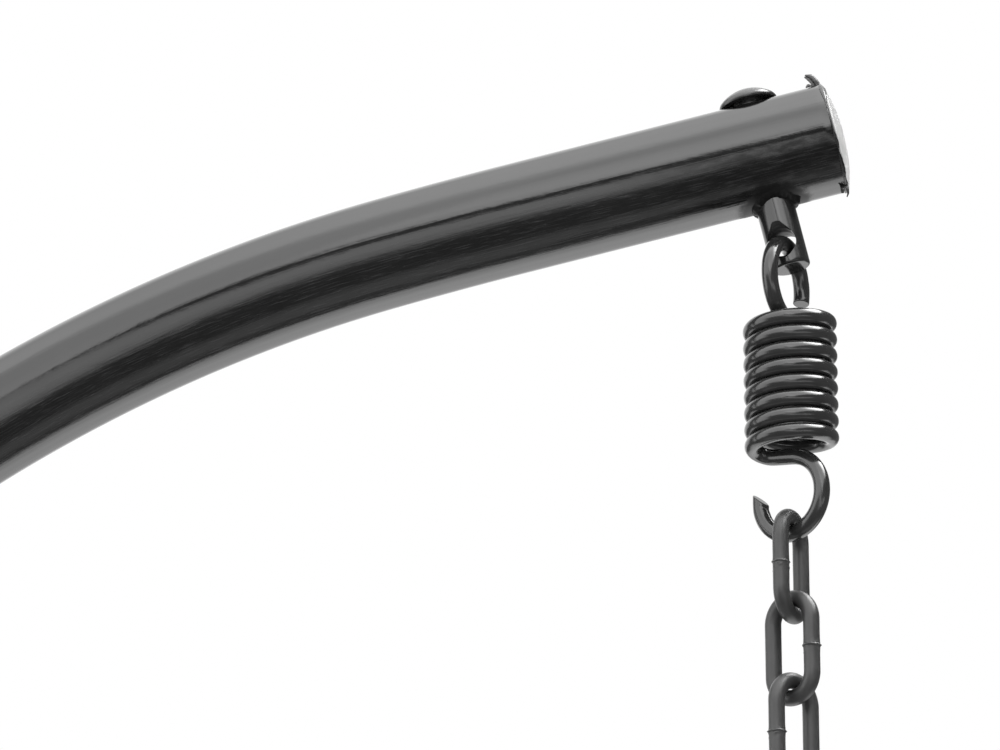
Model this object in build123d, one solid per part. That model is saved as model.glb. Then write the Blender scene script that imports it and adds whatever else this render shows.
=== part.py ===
from build123d import *
import math
import os

# ----------------------------------------------------------------------------
# Upper arm of a hanging swing stand, with its suspension: a bent steel tube that
# plugs into a post at its foot, and at its tip an eye pin, an extension spring
# with a full loop on top and an open hook below, and a short welded chain.
# Millimetres, +Z up.  The origin is on the axis of the tube's foot, in the plane
# where the tube's end face meets the post.  The arm rises along +Z, leans over
# towards +X and carries the spring and the chain at its tip.
# ----------------------------------------------------------------------------

# --- arm tube
TUBE_D = 48.0            # outside diameter
TUBE_WALL = 2.0
TIP_SLOPE = 12.95        # rise of the straight tip run above horizontal, degrees
TIP_OVERHANG = 31.6      # tube end beyond the pin axis
TIP_STRAIGHT = 109.85    # straight run from the pin axis back to the first bend
BEND1_R = 1873.0         # long, easy lead-in to the bend
BEND1_DEG = 1.85
BEND2_R = 655.0          # main bend, down to the vertical
FOOT_STRAIGHT = 67.6     # straight vertical run at the foot

# --- spigot that joins the arm to the post
SPIGOT_D = 42.4          # standing out of the arm, slides into a bore of about 43 mm
SPIGOT_IN_D = 43.7       # expanded part, held in the arm
SPIGOT_WALL = 2.0
SPIGOT_OUT = 80.0        # length standing out of the arm
SPIGOT_IN = 62.0         # length held in the arm
BOLT_D = 8.0
BOLT_HOLE_D = 8.5
BOLT_Z = 32.0            # bolt through arm and spigot
POST_HOLE_Z = -40.0      # hole for the post's own bolt
WASHER_OD = 16.0
WASHER_ID = 8.4
WASHER_T = 1.6
HEX_AF = 13.0

# --- eye pin through the tip
PIN_D = 16.8
PIN_BELOW = 53.0         # tube axis to the flat lower end
PIN_HOLE_D = 12.5        # cross hole that takes the spring's loop
PIN_HOLE_AT = 41.7       # tube axis to the cross hole's axis
PIN_HOLE_TURN = 13.0     # cross hole turned about the pin's axis, degrees
HEAD_D = 25.6
HEAD_RIM = 1.8
HEAD_DOME = 5.4

# --- extension spring
WIRE_D = 7.0
COIL_R = 16.7            # mean radius
COIL_PITCH = 7.28
COIL_X = 10.6            # coil axis, from the pin/tube axis crossing
COIL_Z0 = -76.8          # wire centre at azimuth 0 of the top turn
COIL_B0 = 32.0           # azimuth where the top turn leaves for the loop
COIL_B1 = 180.0          # azimuth where the last turn leaves for the hook
COIL_LAPS = 8
LOOP_R = 16.7
LOOP_X = 9.25
LOOP_Z = -57.6
LOOP_AZ = 111.3          # plane of the top loop, turned from +X towards -Y
LOOP_END = 197.0         # where the loop's free end is cut, past the apex
HOOK_R = 17.0
HOOK_R_IN = 15.7         # the hook closes in a little towards its free end
HOOK_X = 9.4
HOOK_Z = -152.9
HOOK_AZ = 35.0           # plane of the hook
HOOK_A0 = 82.0
HOOK_END = 186.0
BEND_R = 6.0             # tight bends between the coil and its two ends

# --- chain
LINK_WIRE = 7.0
LINK_LEN = 49.8          # outside length
LINK_R = 10.25           # centreline radius of the two ends
LINK_GAP = 0.3           # play at each crossing
LINK_X = 9.3
LINK_AZ = [111.6, 36.0, 131.0, 38.0, 124.0, 30.0, 112.0, 14.0, 90.0]
N_LINKS = len(LINK_AZ)

os.makedirs("parts", exist_ok=True)


def out(name, shape):
    shape.label = name
    export_step(shape, "parts/%s.step" % name)


# ---------------------------------------------------------------- arm geometry
s1 = math.radians(TIP_SLOPE)
s2 = math.radians(TIP_SLOPE + BEND1_DEG)
# walk from the pin crossing (0, 0) back along the arm to its foot
ax1, az1 = -TIP_STRAIGHT * math.cos(s1), -TIP_STRAIGHT * math.sin(s1)
ax2 = ax1 - BEND1_R * (math.sin(s2) - math.sin(s1))
az2 = az1 - BEND1_R * (math.cos(s1) - math.cos(s2))
ax3 = ax2 - BEND2_R * (1.0 - math.sin(s2))
az3 = az2 - BEND2_R * math.cos(s2)
ax4, az4 = ax3, az3 - FOOT_STRAIGHT
OX, OZ = -ax4, -az4      # shift that brings the foot to the origin


def P(x, y, z):
    """Point given from the pin/tube crossing, in the part's frame."""
    return Vector(x + OX, y, z + OZ)


T = Vector(math.cos(s1), 0, math.sin(s1))        # along the tip run, outwards
D = Vector(math.sin(s1), 0, -math.cos(s1))       # down the pin
PIN0 = P(0, 0, 0)
TIP = PIN0 + T * TIP_OVERHANG


def azv(deg):
    a = math.radians(deg)
    return Vector(math.cos(a), -math.sin(a), 0)


ZV = Vector(0, 0, 1)


def mid_arc(x0, z0, x1, z1, r):
    """Middle point of an arc that bulges up and to the left of its chord."""
    mx, mz = (x0 + x1) / 2, (z0 + z1) / 2
    dx, dz = x1 - x0, z1 - z0
    L = math.hypot(dx, dz)
    h = r - math.sqrt(r * r - L * L / 4)
    nx, nz = dz / L, -dx / L
    if nz < 0 or (nz == 0 and nx > 0):
        nx, nz = -nx, -nz
    return mx + nx * h, mz + nz * h


m1 = mid_arc(ax1, az1, ax2, az2, BEND1_R)
m2 = mid_arc(ax2, az2, ax3, az3, BEND2_R)
arm_path = Wire([
    Edge.make_line(P(ax4, 0, az4), P(ax3, 0, az3)),
    Edge.make_three_point_arc(P(ax3, 0, az3), P(m2[0], 0, m2[1]), P(ax2, 0, az2)),
    Edge.make_three_point_arc(P(ax2, 0, az2), P(m1[0], 0, m1[1]), P(ax1, 0, az1)),
    Edge.make_line(P(ax1, 0, az1), TIP),
])
foot = Plane(origin=P(ax4, 0, az4), x_dir=(1, 0, 0), z_dir=(0, 0, 1))
ring = foot * (Circle(TUBE_D / 2) - Circle(TUBE_D / 2 - TUBE_WALL))
arm = sweep(ring, path=arm_path)

PIN_PLANE = Plane(origin=PIN0, x_dir=T, z_dir=-D)      # local +Z up the pin
pin_bore = PIN_PLANE * Cylinder(PIN_D / 2 + 0.15, 120)
arm = arm - pin_bore
arm = arm - Pos(0, 0, BOLT_Z) * Rot(90, 0, 0) * Cylinder(BOLT_HOLE_D / 2, 80)
out("arm_tube", arm)

# ------------------------------------------------------------- spigot and bolt
bore_r = SPIGOT_D / 2 - SPIGOT_WALL
spigot = (Pos(0, 0, -SPIGOT_OUT / 2) * Cylinder(SPIGOT_D / 2, SPIGOT_OUT)
          + Pos(0, 0, SPIGOT_IN / 2) * Cylinder(SPIGOT_IN_D / 2, SPIGOT_IN)
          - Cylinder(bore_r, 2 * (SPIGOT_IN + SPIGOT_OUT)))
for z in (BOLT_Z, POST_HOLE_Z):
    spigot = spigot - Pos(0, 0, z) * Rot(90, 0, 0) * Cylinder(BOLT_HOLE_D / 2, 80)
out("post_spigot", spigot)

y_w = TUBE_D / 2 + 0.05                     # washer's inner face
y_h = y_w + WASHER_T                        # head and nut seat
hexagon = RegularPolygon(HEX_AF / 2, 6, major_radius=False)
# bolt lies along Y with its head on the -Y side
head = Plane.XZ.offset(y_h) * extrude(hexagon, 5.3)
head = chamfer(head.edges().group_by(Axis.Y)[0], 0.6)
shank_len = y_h + y_h + 6.0
shank = Pos(0, (shank_len / 2) - y_h, 0) * Rot(90, 0, 0) * Cylinder(BOLT_D / 2 - 0.05, shank_len)
out("spigot_bolt", Pos(0, 0, BOLT_Z) * (head + shank))

washer = Rot(90, 0, 0) * (Cylinder(WASHER_OD / 2, WASHER_T) - Cylinder(WASHER_ID / 2, WASHER_T + 1))
w1 = Pos(0, -(y_w + WASHER_T / 2), BOLT_Z) * washer
w2 = Pos(0, (y_w + WASHER_T / 2), BOLT_Z) * washer
out("spigot_washers", Compound(children=[w1, w2]))

nut_body = Plane.XZ.offset(-y_h) * extrude(hexagon, -6.5)
dome_c = Pos(0, y_h + 6.5, 0) * Sphere(5.9)
dome_c = dome_c & (Pos(0, y_h + 6.5 + 5, 0) * Box(20, 10, 20))
nut = nut_body + dome_c
nut = nut - Pos(0, y_h + 4.0, 0) * Rot(90, 0, 0) * Cylinder(BOLT_D / 2, 8.0)
out("spigot_nut", Pos(0, 0, BOLT_Z) * nut)

# ------------------------------------------------------------------- tip plug
TIP_PLANE = Plane(origin=TIP, x_dir=-D, z_dir=T)       # local +Z out of the tube
ri = TUBE_D / 2 - TUBE_WALL


def xz(x, z):
    return Vector(x, 0, z)


def cap(r0, z0, z1):
    """Spherical cap profile from radius r0 at height z0 up to the axis at z1."""
    h = z1 - z0
    R = (r0 * r0 + h * h) / (2 * h)
    a = math.asin(r0 / R) / 2
    return Edge.make_three_point_arc(
        xz(r0, z0), xz(R * math.sin(a), z1 - R + R * math.cos(a)), xz(0, z1))


def turned(points, r0, z0, z1):
    """Solid of revolution about +Z: an outline from the axis out to (r0, z0), closed by a cap."""
    edges = [Edge.make_line(xz(*p), xz(*q)) for p, q in zip(points, points[1:])]
    edges += [cap(r0, z0, z1), Edge.make_line(xz(0, z1), xz(*points[0]))]
    return Solid.revolve(Face(Wire(edges)), 360, Axis.Z)


plug = turned([(0, 0.6), (ri - 2.1, 0.6), (ri - 2.1, -14.0), (ri - 0.15, -14.0),
               (ri - 0.15, 0.05), (TUBE_D / 2 - 0.9, 0.05), (TUBE_D / 2 - 0.5, 1.0)],
              TUBE_D / 2 - 0.5, 1.0, 4.9)
out("end_plug", TIP_PLANE * plug)

# thin torn film left round the end of the tube
film = Pos(0, 0, -3.0) * (Cylinder(TUBE_D / 2 + 0.55, 6.0) - Cylinder(TUBE_D / 2 + 0.05, 7.0))
out("end_film", TIP_PLANE * film)

# -------------------------------------------------------------------- eye pin
rp = PIN_D / 2
seat = TUBE_D / 2 + 0.02
pin = turned([(0, -PIN_BELOW), (rp - 1.0, -PIN_BELOW), (rp, -PIN_BELOW + 1.0), (rp, seat),
              (HEAD_D / 2, seat), (HEAD_D / 2, seat + HEAD_RIM)],
             HEAD_D / 2, seat + HEAD_RIM, seat + HEAD_RIM + HEAD_DOME)
hole_r = PIN_HOLE_D / 2
hole = Cylinder(hole_r, 40)
for sgn in (1, -1):
    cone = Pos(0, 0, sgn * (5.8 + 2.5)) * (Cone(hole_r, hole_r + 5.0, 5.0) if sgn > 0 else Cone(hole_r + 5.0, hole_r, 5.0))
    hole = hole + cone
# cross hole lies along local -Y, turned about the pin's own axis
pin = pin - Pos(0, 0, -PIN_HOLE_AT) * Rot(0, 0, -PIN_HOLE_TURN) * Rot(90, 0, 0) * hole
out("eye_pin", PIN_PLANE * pin)

# fillet weld round the pin where it leaves the underside of the tube
bead = Pos(0, 0, -(18.0 + 28.4) / 2) * Cone(rp + 0.9, rp + 4.4, 28.4 - 18.0)
bead = bead - Rot(0, 90, 0) * Cylinder(TUBE_D / 2 + 0.02, 80)
bead = bead - Cylinder(rp + 0.02, 120)
bead = [s for s in bead.solids() if s.center().Z < 0][0]
out("pin_weld", PIN_PLANE * bead)

# --------------------------------------------------------------------- spring
wr = WIRE_D / 2


def round_along(wire):
    start = wire.position_at(0)
    tan = wire.tangent_at(0)
    return sweep(Plane(origin=start, z_dir=tan) * Circle(wr), path=wire)


def corner(a, k, b, rho):
    """Straight a-k, arc of radius rho, straight to b."""
    d1 = (k - a).normalized()
    d2 = (b - k).normalized()
    turn = math.acos(max(-1, min(1, d1.dot(d2))))
    tl = rho * math.tan(turn / 2)
    p1, p2 = k - d1 * tl, k + d2 * tl
    n = (d2 - d1 * d1.dot(d2)).normalized()
    c = p1 + n * rho
    pm = c - n * rho * math.cos(turn / 2) + d1 * rho * math.sin(turn / 2)
    return p1, pm, p2


def plan_cross(p, d, q, e):
    """Parameters where p + d*s meets q + e*t in plan."""
    det = d.X * (-e.Y) + e.X * d.Y
    wx, wy = q.X - p.X, q.Y - p.Y
    s = (wx * (-e.Y) + e.X * wy) / det
    t = (d.X * wy - d.Y * wx) / det
    return s, t


def helix_pt(beta_deg):
    """Point of the coil's centreline; beta falls as the wire goes down."""
    b = math.radians(beta_deg)
    return P(COIL_X + COIL_R * math.cos(b), COIL_R * math.sin(b), COIL_Z0 + COIL_PITCH * beta_deg / 360.0)


# coil: the last degree of each end is left open so that the ends stand clear
b_top = COIL_B0
b_bot = COIL_B1 - 360.0 * COIL_LAPS
turns = (b_top - b_bot - 2.0) / 360.0
helix = Helix(pitch=COIL_PITCH, height=COIL_PITCH * turns, radius=COIL_R)
hw = Wire(helix.edges())
coil = sweep(Plane(origin=hw.position_at(0), z_dir=hw.tangent_at(0)) * Circle(wr), path=hw, is_frenet=True)
start = helix_pt(b_bot + 1.0)
coil = Pos(COIL_X + OX, 0, start.Z) * Rot(0, 0, b_bot + 1.0) * coil
out("spring_coil", coil)

# top loop: free end, over the apex, down to its lowest point, then across to the coil
lu = azv(LOOP_AZ)
lc = P(LOOP_X, 0, LOOP_Z)


def loop_pt(a):
    r = math.radians(a)
    return lc + (lu * math.cos(r) + ZV * math.sin(r)) * LOOP_R


top_pt = helix_pt(b_top)
bb = math.radians(b_top)
up_head = Vector(-math.sin(bb), math.cos(bb), 0)
low = loop_pt(-90)
s, t = plan_cross(top_pt, up_head, low, lu * -1)
K = Vector(top_pt.X + up_head.X * s, top_pt.Y + up_head.Y * s, low.Z)
p1, pm, p2 = corner(low, K, top_pt, BEND_R)
loop_w = Wire([
    Edge.make_three_point_arc(loop_pt(LOOP_END), loop_pt((LOOP_END + 50) / 2), loop_pt(50)),
    Edge.make_three_point_arc(loop_pt(50), loop_pt(-20), low),
    Edge.make_line(low, p1),
    Edge.make_three_point_arc(p1, pm, p2),
    Edge.make_line(p2, top_pt),
])
out("spring_top_loop", round_along(loop_w))

# hook: from the coil across, then round in a vertical plane to its free end
hu = azv(HOOK_AZ)
hc = P(HOOK_X, 0, HOOK_Z)
hc2 = P(HOOK_X, 0, HOOK_Z - HOOK_R + HOOK_R_IN)


def hook_pt(a, c, r):
    q = math.radians(a)
    return c + (hu * math.cos(q) + ZV * math.sin(q)) * r


bot_pt = helix_pt(b_bot)
bb = math.radians(b_bot)
down_head = Vector(math.sin(bb), -math.cos(bb), 0)
H = hook_pt(HOOK_A0, hc, HOOK_R)
ht = hu * math.sin(math.radians(HOOK_A0)) - ZV * math.cos(math.radians(HOOK_A0))
s, t = plan_cross(bot_pt, down_head, H, ht * -1)
K2 = H - ht * t
q1, qm, q2 = corner(bot_pt, K2, H, BEND_R)
hook_w = Wire([
    Edge.make_three_point_arc(hook_pt(-HOOK_END, hc2, HOOK_R_IN), hook_pt(-150, hc2, HOOK_R_IN),
                              hook_pt(-90, hc2, HOOK_R_IN)),
    Edge.make_three_point_arc(hook_pt(-90, hc, HOOK_R), hook_pt(0, hc, HOOK_R), H),
    Edge.make_line(H, q2),
    Edge.make_three_point_arc(q2, qm, q1),
    Edge.make_line(q1, bot_pt),
])
out("spring_hook", round_along(hook_w))

# ---------------------------------------------------------------------- chain
lwr = LINK_WIRE / 2
hook_low = HOOK_Z - HOOK_R
z_top = hook_low + LINK_WIRE + LINK_GAP            # wire centre at the top of link 1
half = LINK_LEN / 2 - lwr                          # centre to wire centre, lengthways
straight = half - LINK_R
print("link tops (centre)", z_top)


def link(az, cz):
    u = azv(az)
    c = P(LINK_X, 0, cz)
    a, b = c + u * LINK_R + ZV * straight, c - u * LINK_R + ZV * straight
    d, e = c - u * LINK_R - ZV * straight, c + u * LINK_R - ZV * straight
    w = Wire([
        Edge.make_line(e, a),
        Edge.make_three_point_arc(a, c + ZV * half, b),
        Edge.make_line(b, d),
        Edge.make_three_point_arc(d, c - ZV * half, e),
    ])
    return sweep(Plane(origin=c + u * LINK_R - ZV * straight, z_dir=ZV) * Circle(lwr), path=w)


z = z_top
for i, az in enumerate(LINK_AZ):
    cz = z - half
    out("chain_link_%d" % (i + 1), link(az, cz))
    z = cz - half + LINK_WIRE + LINK_GAP
print("OX", OX, "OZ", OZ)
print("pin crossing", PIN0, "tip", TIP)
print("loop apex", loop_pt(90), "hook low", hook_pt(-90, hc, HOOK_R))
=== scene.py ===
import bpy
import bmesh
import math
import numpy as np
from mathutils import Vector, Matrix, noise


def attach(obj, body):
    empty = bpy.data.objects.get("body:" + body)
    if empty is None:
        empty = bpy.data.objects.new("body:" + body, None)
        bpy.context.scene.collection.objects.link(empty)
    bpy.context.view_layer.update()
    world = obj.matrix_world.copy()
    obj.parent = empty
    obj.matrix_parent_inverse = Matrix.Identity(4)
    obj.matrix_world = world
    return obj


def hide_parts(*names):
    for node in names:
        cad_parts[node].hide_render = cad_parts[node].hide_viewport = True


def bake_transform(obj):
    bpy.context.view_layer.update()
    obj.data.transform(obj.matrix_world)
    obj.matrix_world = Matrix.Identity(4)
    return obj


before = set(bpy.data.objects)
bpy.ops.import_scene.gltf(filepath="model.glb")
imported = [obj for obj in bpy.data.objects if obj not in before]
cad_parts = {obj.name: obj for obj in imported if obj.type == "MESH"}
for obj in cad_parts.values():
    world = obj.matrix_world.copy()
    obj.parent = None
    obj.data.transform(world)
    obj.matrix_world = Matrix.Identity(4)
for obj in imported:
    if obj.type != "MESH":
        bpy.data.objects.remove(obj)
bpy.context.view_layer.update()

# ---------------------------------------------------------------------------
# The arm's geometry, in millimetres from the crossing of pin and tube axes.
# ---------------------------------------------------------------------------
OX, OZ = 653.44845, 739.98869
SLOPE, STRAIGHT, OVERHANG = math.radians(12.95), 109.85, 31.6
B1R, B1D, B2R, FOOT = 1873.0, math.radians(1.85), 655.0, 67.6
TUBE_R, WALL = 24.0, 2.0
PIN_R, PIN_BELOW, HOLE_AT = 8.4, 53.0, 41.7
WIRE = 3.5
TDIR = np.array([math.cos(SLOPE), 0.0, math.sin(SLOPE)])      # along the tip run
DDIR = np.array([math.sin(SLOPE), 0.0, -math.cos(SLOPE)])     # down the pin
YDIR = np.array([0.0, 1.0, 0.0])
ZV = np.array([0.0, 0.0, 1.0])
ORIGIN = np.array([OX, 0.0, OZ])


def M(p):
    """Millimetres from the pin crossing to metres in the part's frame."""
    return (np.asarray(p, float) + ORIGIN) / 1000.0


def azv(deg):
    a = math.radians(deg)
    return np.array([math.cos(a), -math.sin(a), 0.0])


def smooth(x, a, b):
    t = np.clip((np.asarray(x, float) - a) / (b - a), 0, 1)
    return t * t * (3 - 2 * t)


def nz(p, scale, seed=0.0):
    """Smooth noise, -1..1, at a point in millimetres."""
    return noise.noise(Vector((p[0] * scale + seed, p[1] * scale - seed * 0.7, p[2] * scale + seed * 1.3)))


# ---------------------------------------------------------------------------
# Mesh helpers
# ---------------------------------------------------------------------------
def new_object(name, verts, faces, smooth_shade=True, uv=None):
    me = bpy.data.meshes.new(name)
    me.from_pydata([tuple(v) for v in verts], [], faces)
    me.validate()
    if uv is not None:
        layer = me.uv_layers.new(name="Along")
        loops = np.zeros(len(me.loops), np.int32)
        me.loops.foreach_get("vertex_index", loops)
        layer.uv.foreach_set("vector", np.asarray(uv, np.float32)[loops].ravel())
    me.polygons.foreach_set("use_smooth", [smooth_shade] * len(me.polygons))
    me.update()
    ob = bpy.data.objects.new(name, me)
    bpy.context.scene.collection.objects.link(ob)
    return ob


def uv_faces(name, verts, faces, face_uv, smooth_shade=True):
    """Mesh whose UV is given for each corner of each face."""
    me = bpy.data.meshes.new(name)
    me.from_pydata([tuple(v) for v in verts], [], faces)
    layer = me.uv_layers.new(name="Along")
    layer.uv.foreach_set("vector", np.asarray(face_uv, np.float32).ravel())
    me.polygons.foreach_set("use_smooth", [smooth_shade] * len(me.polygons))
    me.update()
    ob = bpy.data.objects.new(name, me)
    bpy.context.scene.collection.objects.link(ob)
    return ob


def frames(pts, closed=False, up=None):
    """Parallel-transported frames along a polyline."""
    pts = np.asarray(pts, float)
    n = len(pts)
    if closed:
        tan = np.roll(pts, -1, 0) - np.roll(pts, 1, 0)
    else:
        tan = np.gradient(pts, axis=0)
    tan /= np.linalg.norm(tan, axis=1)[:, None]
    a = np.array(up if up is not None else ([0, 1, 0] if abs(tan[0][1]) < 0.9 else [1, 0, 0]), float)
    a -= tan[0] * (a @ tan[0])
    a /= np.linalg.norm(a)
    A = np.zeros_like(pts)
    A[0] = a
    for i in range(1, n):
        v = A[i - 1] - tan[i] * (A[i - 1] @ tan[i])
        A[i] = v / np.linalg.norm(v)
    B = np.cross(tan, A)
    if closed:
        # spread the closing twist round the loop
        v = A[-1] - tan[0] * (A[-1] @ tan[0])
        v /= np.linalg.norm(v)
        tw = math.atan2(v @ B[0], v @ A[0])
        f = -tw * np.arange(n) / n
        A, B = A * np.cos(f)[:, None] + B * np.sin(f)[:, None], -A * np.sin(f)[:, None] + B * np.cos(f)[:, None]
    return tan, A, B


def lengths(pts):
    return np.concatenate([[0], np.cumsum(np.linalg.norm(np.diff(pts, axis=0), axis=1))])


def tube(name, pts, radius, nseg=32, closed=False, up=None, cap=None, shape=None):
    """Round bar along pts. radius(i, k, s, phi) or a number, in mm. cap = edge rounding in mm at open ends.
    shape(ring index, ring points) may move a ring's points."""
    pts = np.asarray(pts, float)
    tan, A, B = frames(pts, closed, up)
    s = lengths(pts)
    n = len(pts)
    phi = np.arange(nseg) * 2 * math.pi / nseg
    rings = []
    svals = []
    R0 = radius if not callable(radius) else None

    def ring(i, r, shift=0.0):
        c = pts[i] + tan[i] * shift
        return c + r[:, None] * (np.cos(phi)[:, None] * A[i] + np.sin(phi)[:, None] * B[i])

    for i in range(n):
        r = np.full(nseg, R0) if R0 is not None else np.array([radius(i, k, s[i], phi[k]) for k in range(nseg)])
        rings.append(ring(i, r))
        svals.append(s[i])
    if not closed and cap:
        r0 = np.linalg.norm(rings[0] - pts[0], axis=1)
        r1 = np.linalg.norm(rings[-1] - pts[-1], axis=1)
        pre, post = [], []
        steps = 5
        for j in range(1, steps + 1):
            a = math.pi / 2 * j / steps
            pre.append((ring(0, r0 - cap * (1 - math.cos(a)), -cap * math.sin(a)), -cap * math.sin(a)))
            post.append((ring(n - 1, r1 - cap * (1 - math.cos(a)), cap * math.sin(a)), s[-1] + cap * math.sin(a)))
        for f in (0.66, 0.33):
            pre.append((ring(0, (r0 - cap) * f, -cap), -cap))
            post.append((ring(n - 1, (r1 - cap) * f, cap), s[-1] + cap))
        rings = [p[0] for p in pre[::-1]] + rings + [p[0] for p in post]
        svals = [p[1] for p in pre[::-1]] + svals + [p[1] for p in post]
    if shape:
        rings = [shape(i, r) for i, r in enumerate(rings)]
    nr = len(rings)
    verts = np.concatenate(rings)
    faces, fuv = [], []
    circ = 2 * math.pi * (R0 if R0 is not None else float(np.mean(np.linalg.norm(rings[nr // 2] - rings[nr // 2].mean(0), axis=1)))) / 1000
    total = s[-1] / 1000
    last = nr if closed else nr - 1
    for i in range(last):
        j = (i + 1) % nr
        u0 = svals[i] / 1000
        u1 = svals[j] / 1000 if j else (svals[-1] + float(np.linalg.norm(pts[0] - pts[-1]))) / 1000
        for k in range(nseg):
            l = (k + 1) % nseg
            faces.append((i * nseg + k, j * nseg + k, j * nseg + l, i * nseg + l))
            v0, v1 = circ * k / nseg, circ * (k + 1) / nseg
            fuv += [(u0, v0), (u1, v0), (u1, v1), (u0, v1)]
    if not closed:
        c0 = len(verts)
        verts = np.vstack([verts, verts[:nseg].mean(0), verts[-nseg:].mean(0)])
        base = (nr - 1) * nseg
        for k in range(nseg):
            l = (k + 1) % nseg
            faces.append((c0, k, l))
            faces.append((c0 + 1, base + l, base + k))
            a0, a1 = phi[k], phi[k] + 2 * math.pi / nseg
            q = 0.0035
            fuv += [(0, 0), (q * math.cos(a0), q * math.sin(a0)), (q * math.cos(a1), q * math.sin(a1))]
            fuv += [(0, 0), (q * math.cos(a1), q * math.sin(a1)), (q * math.cos(a0), q * math.sin(a0))]
    ob = uv_faces(name, M(verts), faces, fuv)
    fix_normals(ob)
    return ob


def fix_normals(ob):
    bm = bmesh.new()
    bm.from_mesh(ob.data)
    bmesh.ops.recalc_face_normals(bm, faces=bm.faces)
    if bm.calc_volume(signed=True) < 0:
        bmesh.ops.reverse_faces(bm, faces=bm.faces)
    bm.to_mesh(ob.data)
    bm.free()
    ob.data.update()


def lathe(name, profile, origin, axis, xdir, nseg=96, wobble=None):
    """Closed solid of revolution. profile: (r, h) pairs in mm, first and last on the axis (r = 0)."""
    axis = np.asarray(axis, float)
    xdir = np.asarray(xdir, float)
    ydir = np.cross(axis, xdir)
    phi = np.arange(nseg) * 2 * math.pi / nseg
    verts, index = [], []
    for r, h in profile:
        if r < 1e-6:
            index.append([len(verts)])
            verts.append(origin + axis * h)
        else:
            index.append(list(range(len(verts), len(verts) + nseg)))
            for p in phi:
                rr, hh = (r, h) if wobble is None else wobble(r, h, p)
                verts.append(origin + axis * hh + rr * (math.cos(p) * xdir + math.sin(p) * ydir))
    faces = []
    fuv = []
    sl = np.concatenate([[0], np.cumsum([math.dist(a, b) for a, b in zip(profile, profile[1:])])]) / 1000
    for i in range(len(profile) - 1):
        a, b = index[i], index[i + 1]
        ra, rb = profile[i][0] / 1000, profile[i + 1][0] / 1000
        for k in range(nseg):
            l = (k + 1) % nseg
            p0, p1 = 2 * math.pi * k / nseg, 2 * math.pi * (k + 1) / nseg
            if len(a) == 1 and len(b) == 1:
                continue
            if len(a) == 1:
                faces.append((a[0], b[k], b[l]))
                fuv += [(sl[i], 0), (sl[i + 1], p0 * rb), (sl[i + 1], p1 * rb)]
            elif len(b) == 1:
                faces.append((a[k], b[0], a[l]))
                fuv += [(sl[i], p0 * ra), (sl[i + 1], 0), (sl[i], p1 * ra)]
            else:
                faces.append((a[k], b[k], b[l], a[l]))
                fuv += [(sl[i], p0 * ra), (sl[i + 1], p0 * rb), (sl[i + 1], p1 * rb), (sl[i], p1 * ra)]
    ob = uv_faces(name, M(np.array(verts)), faces, fuv)
    fix_normals(ob)
    return ob


def rounded(points, radii, steps=5):
    """Polyline (2-D) with its corners rounded; radii has one value for each point."""
    out = [points[0]]
    for i in range(1, len(points) - 1):
        p, a, b, r = np.array(points[i], float), np.array(points[i - 1], float), np.array(points[i + 1], float), radii[i]
        if r <= 0:
            out.append(tuple(p))
            continue
        d1, d2 = (a - p) / np.linalg.norm(a - p), (b - p) / np.linalg.norm(b - p)
        ang = math.acos(np.clip(d1 @ d2, -1, 1))
        tl = r / math.tan(ang / 2)
        c = p + (d1 + d2) / np.linalg.norm(d1 + d2) * (r / math.sin(ang / 2))
        v0, v1 = p + d1 * tl - c, p + d2 * tl - c
        tot = math.acos(np.clip(v0 @ v1 / (r * r), -1, 1))
        for j in range(steps + 1):
            w0, w1 = math.sin(tot * (1 - j / steps)) / math.sin(tot), math.sin(tot * j / steps) / math.sin(tot)
            q = c + v0 * w0 + v1 * w1
            out.append((float(q[0]), float(q[1])))
    out.append(points[-1])
    return out


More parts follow.
